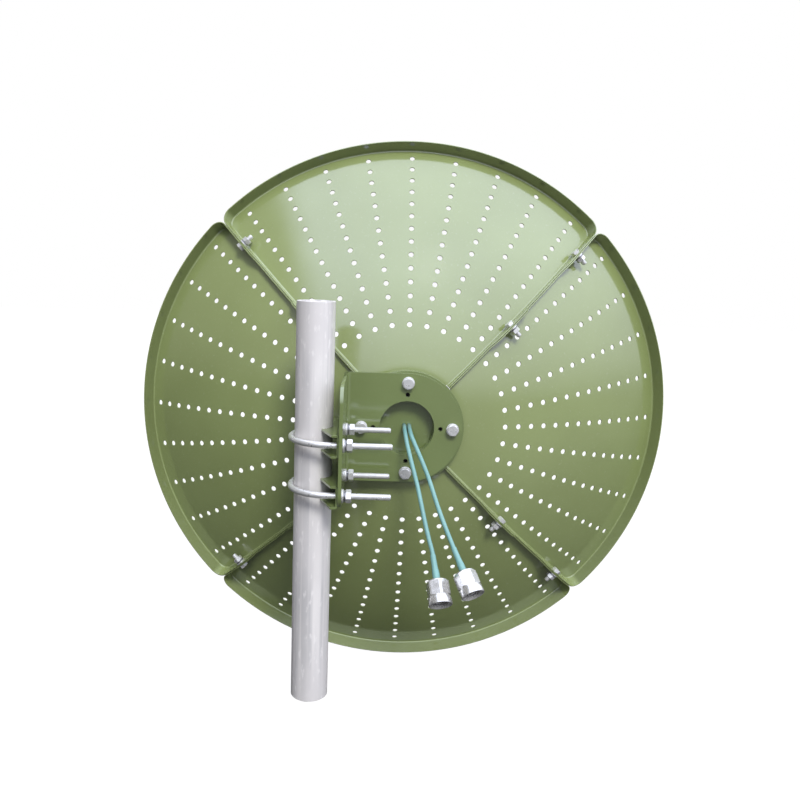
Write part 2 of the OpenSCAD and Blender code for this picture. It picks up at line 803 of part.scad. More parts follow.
module coupling_nut(route) {
    groove_at = 13.2;
    color(NICKEL) on_plug(route) difference() {
        union() {
            intersection() {
                hexagon(coupling_flats, groove_at);
                cylinder(r1 = 9.2, r2 = 23, h = groove_at);
                cylinder(r = nut_rim_r, h = groove_at);
            }
            translate([0, 0, groove_at]) cylinder(r = 9, h = 1.2);
            translate([0, 0, groove_at + 1.2]) cylinder(r1 = 9.6, r2 = nut_rim_r, h = 0.6);
            translate([0, 0, groove_at + 1.8]) cylinder(r = nut_rim_r, h = nut_length - groove_at - 1.8);
        }
        translate([0, 0, -1]) cylinder(r = neck_r + running_gap, h = 10);
        translate([0, 0, nut_wall]) cylinder(r = nut_cavity_r, h = 5.6);
        translate([0, 0, 7]) cylinder(r = nut_thread_r, h = 30);
        translate([0, 0, nut_length - 1.6]) cylinder(r1 = nut_thread_r, r2 = 9.4, h = 1.65);
    }
}
module coupling_nut_a() { coupling_nut(cable_a_route); }
module coupling_nut_b() { coupling_nut(cable_b_route); }

module insulator(route) {
    color(PTFE) on_plug(route) translate([0, 0, 1.5]) difference() {
        cylinder(r = 3.5, h = 8);
        translate([0, 0, -1]) cylinder(r = 0.85, h = 12);
    }
}
module insulator_a() { insulator(cable_a_route); }
module insulator_b() { insulator(cable_b_route); }

module center_pin(route) {
    color(GOLD) on_plug(route) {
        translate([0, 0, 1.5]) cylinder(r = 0.85, h = 13.5);
        translate([0, 0, 15]) cylinder(r1 = 0.85, r2 = 0.4, h = 1.5);
    }
}
module center_pin_a() { center_pin(cable_a_route); }
module center_pin_b() { center_pin(cable_b_route); }

module gasket(route) {
    color(RUBBER) on_plug(route) translate([0, 0, nut_wall + running_gap + 4]) difference() {
        cylinder(r = 7, h = 1.6);
        translate([0, 0, -1]) cylinder(r = 4.1, h = 4);
    }
}
module gasket_a() { gasket(cable_a_route); }
module gasket_b() { gasket(cable_b_route); }

mast_tube();
petal_top();
petal_right();
petal_bottom();
petal_left();
seam_bolts();
seam_flat_washers();
seam_spring_washers();
seam_nuts();
hub_ring();
hub_disc();
hub_bolts();
hub_bolt_washers();
hub_flat_washers();
hub_spring_washers();
hub_nuts();
bracket();
saddle_upper();
saddle_lower();
u_bolt_upper();
u_bolt_lower();
u_bolt_flat_washers();
u_bolt_spring_washers();
u_bolt_nuts();
feed_base();
feed_screws();
feed_tube();
feed_tube_screws();
feed_back_plate();
feed_seal();
feed_board_h();
feed_board_v();
feed_reflector();
feed_radome();
feed_coax_h();
feed_coax_v();
cable_a();
cable_b();
sleeve_a();
sleeve_b();
connector_body_a();
connector_body_b();
coupling_nut_a();
coupling_nut_b();
insulator_a();
insulator_b();
center_pin_a();
center_pin_b();
gasket_a();
gasket_b();
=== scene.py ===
from math import acos, asin, atan, atan2, cos, pi, radians, sin, sqrt, tan

import bmesh
import bpy
import numpy as np
from mathutils import Matrix, Vector


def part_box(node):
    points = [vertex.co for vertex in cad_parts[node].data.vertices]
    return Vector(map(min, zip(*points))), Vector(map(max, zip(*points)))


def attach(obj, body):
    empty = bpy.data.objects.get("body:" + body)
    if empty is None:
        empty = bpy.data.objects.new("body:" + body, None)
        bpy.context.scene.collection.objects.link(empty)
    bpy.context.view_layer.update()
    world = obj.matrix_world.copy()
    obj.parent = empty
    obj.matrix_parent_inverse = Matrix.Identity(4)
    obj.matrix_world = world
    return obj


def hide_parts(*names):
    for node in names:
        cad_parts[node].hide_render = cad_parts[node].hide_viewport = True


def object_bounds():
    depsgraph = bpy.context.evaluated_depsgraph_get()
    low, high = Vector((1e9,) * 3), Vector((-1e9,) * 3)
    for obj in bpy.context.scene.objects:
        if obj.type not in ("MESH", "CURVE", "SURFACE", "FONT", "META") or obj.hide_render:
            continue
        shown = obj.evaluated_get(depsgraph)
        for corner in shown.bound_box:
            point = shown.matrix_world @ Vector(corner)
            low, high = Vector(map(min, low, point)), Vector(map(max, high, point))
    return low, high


# Parabolic grid antenna seen from behind: four perforated petals, their hub, a bracket on a
# mast tube, the feed in front and two coaxial pigtails. Shapes are built in millimetres and
# scaled to metres when they become objects.
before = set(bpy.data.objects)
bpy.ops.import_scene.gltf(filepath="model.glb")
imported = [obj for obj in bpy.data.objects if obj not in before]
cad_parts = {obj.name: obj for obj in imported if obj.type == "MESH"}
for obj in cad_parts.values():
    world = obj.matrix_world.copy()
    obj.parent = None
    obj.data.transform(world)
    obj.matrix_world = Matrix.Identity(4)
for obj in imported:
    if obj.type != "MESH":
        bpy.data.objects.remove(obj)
cad_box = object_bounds()
MM = 0.001


def box_mm(node):
    lowest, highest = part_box(node)
    return [v / MM for v in lowest], [v / MM for v in highest]


# ---- driving dimensions, read from the frame
disc_low, disc_high = box_mm("hub_disc")
bore_x, bore_z = [round((disc_low[i] + disc_high[i]) / 2, 2) for i in (0, 2)]
mast_r, _, mast_length = box_mm("mast_tube")[1]
ring_front = box_mm("hub_ring")[1][1]
bracket_front = box_mm("bracket")[1][1]
screw_tip = box_mm("feed_screws")[0][1]

# ---- reflector, distances along the boresight counted from its vertex
VERTEX_Y = 60
FOCAL_LENGTH = 187.5
FLAT_DEPTH = ring_front - VERTEX_Y
SHEET = 1.2
SEAM_GAP = 0.3
LIP_HEIGHT = 13
LIP_RADIUS = 268.8
PERFORATION = 5
FIRST_RING, RING_PITCH, RING_COUNT = 97, 14.02, 14
ROW_PITCH, ROW_COUNT = radians(9.88), 9
HUB_BOLT_CIRCLE, HUB_BOLT_HOLE = 43.3, 6.6
PETAL_INNER = 37
HUB_EDGE = 55
CORNER_RADIUS = 12

# ---- hardware: sizes in millimetres; washers are their inner and outer diameters and thickness
M5 = {"thread": 5, "pitch": 0.8, "flats": 8, "head": 3.5, "nut": 4, "bore": 4.7,
      "flat_washer": (5.3, 10, 1), "spring_washer": (5.1, 8.6, 1.3)}
M6 = {"thread": 6, "pitch": 1, "flats": 10, "head": 4, "nut": 5, "bore": 5.6,
      "flat_washer": (6.4, 12, 1.6), "spring_washer": (6.2, 10.4, 1.6)}
U_BOLT = {**M6, "bore": 5.2}
HUB_BOLT_LENGTH, HUB_BOLT_SHANK = 30, 14
SEAM_BOLT_LENGTH, SEAM_BOLT_SHANK = 14, 1
SEAM_BOLT_RADII, SEAM_BOLT_HEIGHT = (135, 233.5), 8.5
U_BOLT_SHANK = 33
BRACKET_PLATE = 3
MAST_WALL = 2
# heads and nuts: the chamfer starts at this share of the flats, and how steeply it leans
HEX_SHOULDER, HEX_LEAN = 0.475, tan(radians(28))

# ---- pigtails: the frame's own routes, in metres
CABLE_DIAMETER = 0.004
CABLE_ROUTES = {"a": [
    (0.0822, 0.0655, 0.242), (0.0822, 0.059, 0.242), (0.082, 0.053, 0.2413), (0.0823, 0.047, 0.2395),
    (0.0829, 0.0415, 0.2364), (0.0838, 0.0365, 0.2321), (0.0852, 0.032, 0.2268),
    (0.087, 0.0278, 0.2205), (0.0892, 0.023, 0.213), (0.0916, 0.0176, 0.205), (0.0939, 0.012, 0.197),
    (0.0959, 0.0063, 0.189), (0.0981, 0.0003, 0.1798), (0.1001, -0.0046, 0.1716),
    (0.1021, -0.0094, 0.1638), (0.1045, -0.0146, 0.1554), (0.1071, -0.0204, 0.1471),
    (0.1088, -0.0292, 0.1376), (0.1105, -0.038, 0.1281),
], "b": [
    (0.0868, 0.0655, 0.242), (0.0868, 0.059, 0.242), (0.0868, 0.053, 0.2414), (0.0873, 0.047, 0.2397),
    (0.0884, 0.0415, 0.2368), (0.0904, 0.0365, 0.2326), (0.0931, 0.032, 0.2272),
    (0.0964, 0.0272, 0.2204), (0.1001, 0.022, 0.2126), (0.1037, 0.0162, 0.2044), (0.1069, 0.01, 0.196),
    (0.1099, 0.0039, 0.1877), (0.113, -0.0022, 0.1796), (0.1164, -0.0085, 0.1716),
    (0.1202, -0.0149, 0.1632), (0.1244, -0.0216, 0.1542), (0.1287, -0.0303, 0.1455),
    (0.133, -0.039, 0.1368),
]}


# ======================== materials
def new_material(name, **inputs):
    """A Principled material; inputs are its sockets' names with _ for a space."""
    material = bpy.data.materials.new(name)
    material.use_nodes = True
    shader = material.node_tree.nodes["Principled BSDF"]
    for key, value in inputs.items():
        shader.inputs[key.replace("_", " ")].default_value = value
    return material, shader


def add_node(material, kind, **settings):
    """A node; settings are its properties, or its sockets' names with _ for a space."""
    node = material.node_tree.nodes.new(kind)
    for key, value in settings.items():
        if hasattr(node, key):
            setattr(node, key, value)
        else:
            node.inputs[key.replace("_", " ")].default_value = value
    return node


def link(material, source, target):
    material.node_tree.links.new(source, target)


def noise(material, scale, detail=3.0, stretch=(1, 1, 1)):
    """Noise in the object's own frame, in steps of about 1/scale metres."""
    place = add_node(material, "ShaderNodeTexCoord")
    mapping = add_node(material, "ShaderNodeMapping", Scale=stretch)
    texture = add_node(material, "ShaderNodeTexNoise", Scale=scale, Detail=detail)
    link(material, place.outputs["Object"], mapping.inputs["Vector"])
    link(material, mapping.outputs["Vector"], texture.inputs["Vector"])
    return texture.outputs["Fac"]


def spread(material, value, low, high, from_low=0.35, from_high=0.65, ramp="LINEAR"):
    """Maps a value between from_low and from_high onto low to high."""
    node = add_node(material, "ShaderNodeMapRange", interpolation_type=ramp,
                    From_Min=from_low, From_Max=from_high, To_Min=low, To_Max=high)
    link(material, value, node.inputs["Value"])
    return node.outputs["Result"]


def times(material, first, second):
    node = add_node(material, "ShaderNodeMath", operation="MULTIPLY")
    link(material, first, node.inputs[0])
    link(material, second, node.inputs[1])
    return node.outputs["Value"]


def vector(material, operation, first, second=(0, 0, 0), output="Vector"):
    """Vector maths; second is a socket or three numbers."""
    node = add_node(material, "ShaderNodeVectorMath", operation=operation)
    link(material, first, node.inputs[0])
    if isinstance(second, tuple):
        node.inputs[1].default_value = second
    else:
        link(material, second, node.inputs[1])
    return node.outputs[output]


def along_axis(material, axis):
    """The place along one of the object's axes, in metres."""
    place = add_node(material, "ShaderNodeTexCoord")
    split = add_node(material, "ShaderNodeSeparateXYZ")
    link(material, place.outputs["Object"], split.inputs["Vector"])
    return split.outputs[axis]


def blend_colour(material, factor, first, second):
    """Goes from first to second; each is a socket or three numbers."""
    node = add_node(material, "ShaderNodeMix", data_type="RGBA")
    colours = [socket for socket in node.inputs if socket.type == "RGBA"]
    for socket, colour in zip(colours, (first, second)):
        if isinstance(colour, tuple):
            socket.default_value = (*colour, 1)
        else:
            link(material, colour, socket)
    link(material, factor, node.inputs[0])
    return [socket for socket in node.outputs if socket.type == "RGBA"][0]


def bump(material, shader, height, distance, strength=1.0, under=None):
    node = add_node(material, "ShaderNodeBump", Strength=strength, Distance=distance)
    link(material, height, node.inputs["Height"])
    if under is not None:
        link(material, under, node.inputs["Normal"])
    link(material, node.outputs["Normal"], shader.inputs["Normal"])
    return node.outputs["Normal"]


def lip_painted_shade(material):
    """Painted shade: 1 on the inner wall of the petals' lips, and 0 elsewhere."""
    place = add_node(material, "ShaderNodeTexCoord")
    centred = vector(material, "SUBTRACT", place.outputs["Object"], (bore_x * MM, 0, bore_z * MM))
    flat = vector(material, "MULTIPLY", centred, (1, 0, 1))
    radius = vector(material, "LENGTH", flat, output="Value")
    outward = vector(material, "NORMALIZE", flat)
    facing_out = vector(material, "DOT_PRODUCT", outward, place.outputs["Normal"], "Value")
    on_rim = spread(material, radius, 0, 1, (LIP_RADIUS - 3) * MM, (LIP_RADIUS - 1) * MM)
    inner = spread(material, facing_out, 1, 0, -0.95, -0.75)
    return times(material, on_rim, inner)


def paint_tip_shade(material, edge):
    """Painted shade: the base colour goes near black where y is under edge, in metres."""
    shader = material.node_tree.nodes["Principled BSDF"]
    in_shade = spread(material, along_axis(material, "Y"), 1, 0, edge - 0.0005, edge)
    plain = shader.inputs["Base Color"].links[0].from_socket
    link(material, blend_colour(material, in_shade, plain, (0.008, 0.008, 0.01)), shader.inputs["Base Color"])
    return material


def olive_paint(name, depth):
    """Glossy olive powder coat, with painted shade on the inner wall of the lips; depth multiplies its red,
    green and blue, and below 1 paints shade over the whole coat.
    """
    material, shader = new_material(
        name, Roughness=0.5, Specular_IOR_Level=0.3,
        Coat_Weight=1.0, Coat_Roughness=0.12, Coat_IOR=2.1,
    )
    cloud = spread(material, noise(material, 9, 4), 0, 1)
    speck = spread(material, noise(material, 420, 2), 0, 1, 0.62, 0.78)
    tones = [(0.184, 0.223, 0.076), (0.206, 0.25, 0.088), (0.225, 0.265, 0.115)]
    low, high, dust = [tuple(v * d for v, d in zip(tone, depth)) for tone in tones]
    dusty = blend_colour(material, speck, blend_colour(material, cloud, low, high), dust)
    # painted shade: the inner wall of the lips goes dark olive
    lip_shaded = blend_colour(material, lip_painted_shade(material), dusty, (0.045, 0.055, 0.018))
    link(material, lip_shaded, shader.inputs["Base Color"])
    smear = spread(material, noise(material, 30, 5), 0.42, 0.6)
    link(material, smear, shader.inputs["Roughness"])
    wave = bump(material, shader, noise(material, 22, 1), 0.0006, 0.5)
    peel = bump(material, shader, noise(material, 700, 2), 0.00005, 0.35, wave)
    link(material, peel, shader.inputs["Coat Normal"])
    return material


def metal(name, light, dark, smooth, rough, grain=260, stretch=(1, 1, 1), depth=0.00003, pure=1.0):
    material, shader = new_material(name, Metallic=pure)
    patch = spread(material, noise(material, grain, 3, stretch), 0, 1)
    link(material, blend_colour(material, patch, light, dark), shader.inputs["Base Color"])
    wear = spread(material, noise(material, grain * 0.6, 4, stretch), smooth, rough)
    link(material, wear, shader.inputs["Roughness"])
    bump(material, shader, noise(material, grain * 3, 3, stretch), depth, 0.5)
    return material


def zinc(name):
    return metal(name, (0.84, 0.83, 0.81), (0.76, 0.75, 0.73), 0.26, 0.36, depth=0.00001, pure=0.7)


def mast_metal():
    material, shader = new_material("mast_metal", Metallic=0.3)
    streak = spread(material, noise(material, 150, 3, (1, 1, 0.012)), 0, 1, 0.42, 0.58)
    patch = spread(material, noise(material, 28, 5, (1, 1, 0.5)), 0, 1)
    drawn = blend_colour(material, streak, (0.56, 0.54, 0.525), (0.79, 0.755, 0.72))
    worn = blend_colour(material, patch, drawn, (0.7, 0.665, 0.64))
    scratch = spread(material, noise(material, 300, 5, (1, 1, 0.3)), 0, 0.5, 0.58, 0.7)
    scratched = blend_colour(material, scratch, worn, (0.92, 0.885, 0.85))
    link(material, scratched, shader.inputs["Base Color"])
    link(material, spread(material, noise(material, 60, 4, (1, 1, 0.2)), 0.38, 0.55),
         shader.inputs["Roughness"])
    scuff = bump(material, shader, noise(material, 520, 4, (1, 1, 0.25)), 0.00006, 0.4)
    bump(material, shader, noise(material, 150, 2, (1, 1, 0.02)), 0.0001, 0.35, scuff)
    return material


def plastic(name, light, dark, roughness, grain=300, coat=0.0, depth=0.00002):
    material, shader = new_material(name, Coat_Weight=coat, Coat_Roughness=0.12, Coat_IOR=1.5)
    patch = spread(material, noise(material, grain, 3), 0, 1)
    link(material, blend_colour(material, patch, light, dark), shader.inputs["Base Color"])
    link(material, spread(material, noise(material, grain * 0.5, 3), roughness * 0.85, roughness * 1.15),
         shader.inputs["Roughness"])
    bump(material, shader, noise(material, grain * 4, 2), depth, 0.4)
    return material


def circuit_board():
    material, shader = new_material("board", Coat_Weight=0.4, Coat_Roughness=0.2)
    place = add_node(material, "ShaderNodeTexCoord")
    weave = add_node(material, "ShaderNodeTexWave", Scale=900, bands_direction="Z")
    link(material, place.outputs["Object"], weave.inputs["Vector"])
    tone = blend_colour(material, weave.outputs["Fac"], (0.02, 0.11, 0.045), (0.03, 0.14, 0.06))
    link(material, tone, shader.inputs["Base Color"])
    link(material, spread(material, noise(material, 300), 0.35, 0.5), shader.inputs["Roughness"])
    bump(material, shader, weave.outputs["Fac"], 0.00003, 0.5)
    return material


MATERIALS = {
    "olive_paint": olive_paint("olive_paint", (1, 1, 1)),
    # the same olive paint made darker: painted shade for the hub, bracket and saddles
    "shaded_bracket_paint": olive_paint("shaded_bracket_paint", (0.66, 0.71, 0.62)),
    "zinc": zinc("zinc"),
    # zinc whose last 3 mm at the feed screws' tips is painted near black: painted shade down in their holes
    "tip_shaded_zinc": paint_tip_shade(zinc("tip_shaded_zinc"), (screw_tip + 3) * MM),
    "spring_steel": metal("spring_steel", (0.5, 0.5, 0.5), (0.34, 0.34, 0.35), 0.3, 0.48),
    "mast_metal": mast_metal(),
    "aluminium": metal("aluminium", (0.76, 0.77, 0.78), (0.66, 0.67, 0.68), 0.3, 0.42, 160),
    "radome_plastic": plastic("radome_plastic", (0.7, 0.71, 0.69), (0.64, 0.65, 0.63), 0.42, 220),
    "board": circuit_board(),
    "rubber": plastic("rubber", (0.02, 0.02, 0.02), (0.035, 0.035, 0.034), 0.65, 500),
    "coax_jacket": plastic("coax_jacket", (0.14, 0.285, 0.265), (0.16, 0.315, 0.29), 0.34, 60, 0.4),
    "nickel": metal("nickel", (0.86, 0.845, 0.82), (0.74, 0.725, 0.7), 0.17, 0.3, 320,
                    depth=0.00001, pure=0.84),
    "ptfe": plastic("ptfe", (0.86, 0.86, 0.84), (0.8, 0.8, 0.78), 0.4),
    "gold": metal("gold", (0.95, 0.72, 0.33), (0.88, 0.63, 0.26), 0.14, 0.25, 400),
}


# ======================== mesh helpers
def skin(rings, closed=False):
    """Joins rings of points into a solid: a torus when closed, or with flat ends."""
    count = len(rings[0])
    points = [tuple(p) for ring in rings for p in ring]
    faces = []
    last = len(rings) if closed else len(rings) - 1
    for k in range(last):
        a, b = k * count, (k + 1) % len(rings) * count
        for i in range(count):
            j = (i + 1) % count
            faces.append((a + i, a + j, b + j, b + i))
    if not closed:
        faces.append(tuple(range(count - 1, -1, -1)))
        faces.append(tuple(range(len(points) - count, len(points))))
    return points, faces


def circles(profile, sides):
    """A round ring for each (radius, z) of the profile."""
    turns = [2 * pi * i / sides for i in range(sides)]
    return [[(radius * cos(t), radius * sin(t), z) for t in turns] for radius, z in profile]


def lathe(profile, sides=48, closed=True):
    """Turns a profile of (radius, z) round the z axis; a closed profile makes a ring."""
    return skin(circles(profile, sides), closed)


def flat_ring(inner, outer, height, edge, sides):
    """A flat ring or tube whose corners are cut by edge."""
    low, high = inner + edge, outer - edge
    return lathe([(low, 0), (high, 0), (outer, edge), (outer, height - edge), (high, height),
                  (low, height), (inner, height - edge), (inner, edge)], sides)


def hex_radius(flats, angle):
    return flats / 2 / cos(angle % (pi / 3) - pi / 6)


def hex_ring(flats, height, sides, limit=None):
    """A hexagonal ring; height is a function of the radius, and limit caps the radius."""
    ring = []
    for i in range(sides):
        angle = 2 * pi * i / sides
        radius = hex_radius(flats, angle)
        radius = min(radius, limit) if limit else radius
        ring.append((radius * cos(angle), radius * sin(angle), height(radius)))
    return ring


def chamfered(base, shoulder, lean):
    """Height of a face at a radius: base up to the shoulder, then rising by lean."""
    return lambda radius: base + max(0.0, radius - shoulder) * lean


def move(part, matrix):
    points, faces = part
    return [tuple(matrix @ Vector(p)) for p in points], faces


def join(parts):
    points, faces = [], []
    for part_points, part_faces in parts:
        start = len(points)
        points.extend(part_points)
        faces.extend(tuple(start + i for i in face) for face in part_faces)
    return points, faces


def finish_piece(obj, material, body, nodes):
    obj.data.materials.clear()
    obj.data.materials.append(MATERIALS[material])
    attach(obj, body)
    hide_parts(*nodes)
    return obj


def add_object(name, mesh):
    obj = bpy.data.objects.new(name, mesh)
    bpy.context.scene.collection.objects.link(obj)
    return obj


def add_piece(name, parts, material, body, nodes, sharp=32):
    """One object from parts in millimetres, smooth but where faces turn by over sharp degrees."""
    points, faces = join(parts)
    mesh = bpy.data.meshes.new(name)
    mesh.from_pydata([(x * MM, y * MM, z * MM) for x, y, z in points], [], faces)
    work = bmesh.new()
    work.from_mesh(mesh)
    bmesh.ops.recalc_face_normals(work, faces=work.faces)
    work.to_mesh(mesh)
    work.free()
    mesh.shade_smooth()
    mesh.set_sharp_from_angle(angle=radians(sharp))
    return finish_piece(add_object(name, mesh), material, body, nodes)


def refined(node, material, body, edge=0.35, sharp=28):
    """A frame node with its real edges rounded: welded, cleaned, bevelled and shaded flat on flats."""
    work = bmesh.new()
    work.from_mesh(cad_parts[node].data)
    bmesh.ops.remove_doubles(work, verts=work.verts, dist=2e-6)
    bmesh.ops.dissolve_limit(work, angle_limit=radians(0.4), verts=work.verts, edges=work.edges)
    edges = [e for e in work.edges if len(e.link_faces) == 2 and e.calc_face_angle() > radians(sharp)]
    bmesh.ops.bevel(work, geom=edges, offset=edge * MM, offset_type="OFFSET", segments=2,
                    profile=0.5, affect="EDGES", clamp_overlap=True)
    mesh = bpy.data.meshes.new(node + "_refined")
    work.to_mesh(mesh)
    work.free()
    if "custom_normal" in mesh.attributes:
        mesh.attributes.remove(mesh.attributes["custom_normal"])
    mesh.shade_smooth()
    mesh.set_sharp_from_angle(angle=radians(40))
    obj = add_object(node + "_refined", mesh)
    weighted = obj.modifiers.new("weighted", "WEIGHTED_NORMAL")
    weighted.keep_sharp = True
    final = bpy.data.meshes.new_from_object(obj.evaluated_get(bpy.context.evaluated_depsgraph_get()))
    obj.modifiers.clear()
    obj.data = final
    return finish_piece(obj, material, body, [node])


# ======================== places
BORESIGHT = Matrix.Translation((bore_x, VERTEX_Y, bore_z)) @ Matrix.Rotation(-pi / 2, 4, "X")


def turn(angle, axis="Z"):
    return Matrix.Rotation(radians(angle), 4, axis)


def shift(x=0.0, y=0.0, z=0.0):
    return Matrix.Translation((x, y, z))


def at_quarters(radius, z):
    return [BORESIGHT @ turn(90 * i) @ shift(radius, 0, z) for i in range(4)]


# ======================== camera
def make_camera():
    """The calibrated viewpoint behind the antenna; the shift is the photograph's framing."""
    data = bpy.data.cameras.new("camera")
    data.lens, data.sensor_width = 34.55, 36
    data.shift_x, data.shift_y = 0.0374, -0.0105
    data.clip_start, data.clip_end = 0.01, 50
    camera = add_object("camera", data)
    camera.location = (0.04934, -0.66092, 0.39016)
    camera.rotation_euler = (radians(80.9167), radians(-1.7193), radians(0.3601))
    bpy.context.scene.camera = camera


make_camera()


# ======================== pigtails
def smooth_route(route, steps=6):
    """Points on a Catmull-Rom curve through the route, straight at both ends."""
    points = [Vector(p) for p in route]
    before = [2 * points[0] - points[1]] + points[:-1]
    after = points[1:] + [2 * points[-1] - points[-2]]
    result = []
    for i in range(len(points) - 1):
        p0, p1, p2, p3 = before[i], points[i], points[i + 1], after[i + 1]
        for k in range(steps):
            t = k / steps
            result.append(0.5 * (2 * p1 + (p2 - p0) * t + (2 * p0 - 5 * p1 + 4 * p2 - p3) * t ** 2
                                 + (3 * p1 - p0 - 3 * p2 + p3) * t ** 3))
    return result + [points[-1]]


def make_cable(name, route):
    """The cable and its length."""
    points = smooth_route(route)
    data = bpy.data.curves.new(name, "CURVE")
    data.dimensions = "3D"
    data.bevel_depth = CABLE_DIAMETER / 2
    data.bevel_resolution = 8
    data.use_fill_caps = True
    spline = data.splines.new("POLY")
    spline.points.add(len(points) - 1)
    for target, point in zip(spline.points, points):
        target.co = (*point, 1)
    spline.use_smooth = True
    return add_object(name, data), sum((b - a).length for a, b in zip(points, points[1:]))


def plug_frame(route):
    """Frame at the route's end with z along the connector, in millimetres."""
    end, before = Vector(route[-1]), Vector(route[-2])
    axis = (end - before).normalized()
    tilt = Matrix.Rotation(acos(axis.z), 4, "Y")
    return Matrix.Translation(end / MM) @ Matrix.Rotation(atan2(axis.y, axis.x), 4, "Z") @ tilt


def helix_ridge(root, crest, pitch, start, end, steps=20, inward=False):
    """A thread's ridge as its own solid, fading in and out over half a turn."""
    turns = (end - start) / pitch
    count = int(turns * steps)
    sink = 0.15 if inward else -0.15
    rings = []
    for i in range(count + 1):
        angle = 2 * pi * i / steps
        z = start + (end - start) * i / count
        fade = min(1, 2 * i / steps, 2 * (count - i) / steps)
        top = root + (crest - root) * fade
        section = [(root + sink, -0.44), (top, -0.08), (top, 0.08), (root + sink, 0.44)]
        rings.append([(r * cos(angle), r * sin(angle), z + h * pitch) for r, h in section])
    return skin(rings)


def sleeve_part():
    """Shrink sleeve: thin over the jacket, fuller over the ferrule."""
    outer = [(-24, 2.25), (-23.6, 2.42), (-20, 2.48), (-14, 2.6), (-12, 2.68), (-10, 2.9),
             (-8.4, 3.14), (-7, 3.2), (-1.5, 3.18), (-1.05, 3.05)]
    inner = [(-1.05, 2.77), (-8.1, 2.74), (-8.3, 2.06), (-24, 2.06)]
    return lathe([(r, z) for z, r in outer + inner])


def coupling_nut_part():
    """Hexagon with a chamfered rear ring, a groove, a round collar and an open threaded mouth."""
    flats, hex_end, collar, length, sides = 18, 13.2, 10.2, 21, 72
    shoulder, lean = 9.1, tan(radians(30))
    rings = circles([(6.3, 0), (8.5, 0), (8.75, 0.25), (8.75, 0.85)], sides)
    rings.append(hex_ring(flats, chamfered(0.9, shoulder, lean), sides, collar))
    rings.append(hex_ring(flats, chamfered(hex_end, shoulder, -lean), sides, collar))
    rings += circles([
        (8.98, hex_end + 0.02), (8.9, hex_end + 0.35), (8.9, 14.2), (9.6, 14.4), (10.05, 14.75),
        (collar, 15.1), (collar, length - 0.5), (10.05, length - 0.15), (9.75, length),
        (9.4, length), (7.7, 19.4), (7.7, 8.3), (8.3, 7.9), (8.3, 2.5), (6.3, 2.45), (6.06, 2.2),
        (6.06, 0.25),
    ], sides)
    return skin(rings, closed=True)


def make_pigtail(letter, route):
    """A cable with its sleeve, body, coupling nut, insulator, pin and gasket."""
    cable, length = make_cable("pigtail_" + letter, route)
    finish_piece(cable, "coax_jacket", "antenna", ["cable_" + letter])
    plug = plug_frame(route)

    def on_plug(name, parts, material, body="antenna", sharp=32):
        node = f"{name}_{letter}"
        return add_piece(node + "_piece", [move(p, plug) for p in parts], material, body, [node], sharp)

    gasket = lathe([(4.15, 6.45), (6.8, 6.45), (7, 6.65), (7, 7.85), (6.8, 8.05), (4.3, 8.05), (4.15, 7.9)])
    insulator = lathe([(0.9, 1.5), (3.5, 1.5), (3.5, 9.3), (3.3, 9.5), (1.3, 9.5), (0.9, 9.2)])
    pin = lathe([(0.85, 1.5), (0.85, 14.6), (0.8, 15.1), (0.62, 15.9), (0.35, 16.4), (0.12, 16.5)],
                24, closed=False)
    thread = helix_ridge(root=7.65, crest=7.2, pitch=1.06, start=9, end=19.2, steps=40, inward=True)
    pieces = [
        on_plug("sleeve", [sleeve_part()], "coax_jacket", sharp=50),
        refined("connector_body_" + letter, "nickel", "antenna", 0.12),
        on_plug("coupling_nut", [coupling_nut_part(), thread], "nickel", "nut_" + letter, 24),
        on_plug("insulator", [insulator], "ptfe"),
        on_plug("center_pin", [pin], "gold"),
        on_plug("gasket", [gasket], "rubber"),
    ]


for letter, route in CABLE_ROUTES.items():
    make_pigtail(letter, route)


# ======================== petals
CREASE = (54.5, 62)  # radii between which the flat hub turns into the paraboloid
BEND = 1.5           # inner radius of the bends to the flanges and the lip
EDGE = 0.3           # rounding of cut edges
STEPS = 6            # quads along one side of a cell
HOLE_MARGIN = 1.2    # width of the ring of quads round a hole
CORNER_ARC = CORNER_RADIUS - SHEET - BEND
SIDE = SEAM_GAP / 2 + SHEET + BEND
SEAM_NORMAL = np.array([-sin(pi / 4), cos(pi / 4), 0])


def depth(r):
    """Depth of the sheet's rear face: flat in the hub, then a paraboloid, with a soft crease."""
    r = np.asarray(r, float)
    parabola = r * r / (4 * FOCAL_LENGTH)
    low, high = CREASE
    t = np.clip((r - low) / (high - low), 0, 1)
    end, rise = high * high / (4 * FOCAL_LENGTH), high / (2 * FOCAL_LENGTH) * (high - low)
    crease = FLAT_DEPTH + (end - FLAT_DEPTH) * (3 * t ** 2 - 2 * t ** 3) + rise * (t ** 3 - t ** 2)
    return np.where(r < low, FLAT_DEPTH, np.where(r < high, crease, parabola))


def slope(r):
    small = 0.01
    return np.arctan((depth(np.asarray(r) + small) - depth(np.asarray(r) - small)) / (2 * small))


def on_sheet(r, a):
    return np.stack([r * np.cos(a), r * np.sin(a), depth(r)], -1)


def rear_normal(r, a):
    s = slope(r)
    return np.stack([np.sin(s) * np.cos(a), np.sin(s) * np.sin(a), -np.cos(s)], -1)


def ring_radii():
    radii = [FIRST_RING]
    while len(radii) < RING_COUNT:
        middle = radii[-1] + RING_PITCH / 2
        radii.append(radii[-1] + RING_PITCH * cos(atan(middle / (2 * FOCAL_LENGTH))))
    return radii


def flange_height(r):
    """Height of the seam flange over the sheet: low, with a raised tab for each of its bolts."""
    inner, middle = 5, 7
    return np.interp(r, [107, 120, 156, 158, 209, 220],
                     [inner, LIP_HEIGHT, LIP_HEIGHT, middle, middle, LIP_HEIGHT])


def side_angle(r):
    """Azimuth where the sheet starts to bend up beside the seam."""
    return pi / 4 - np.arcsin(SIDE / r)


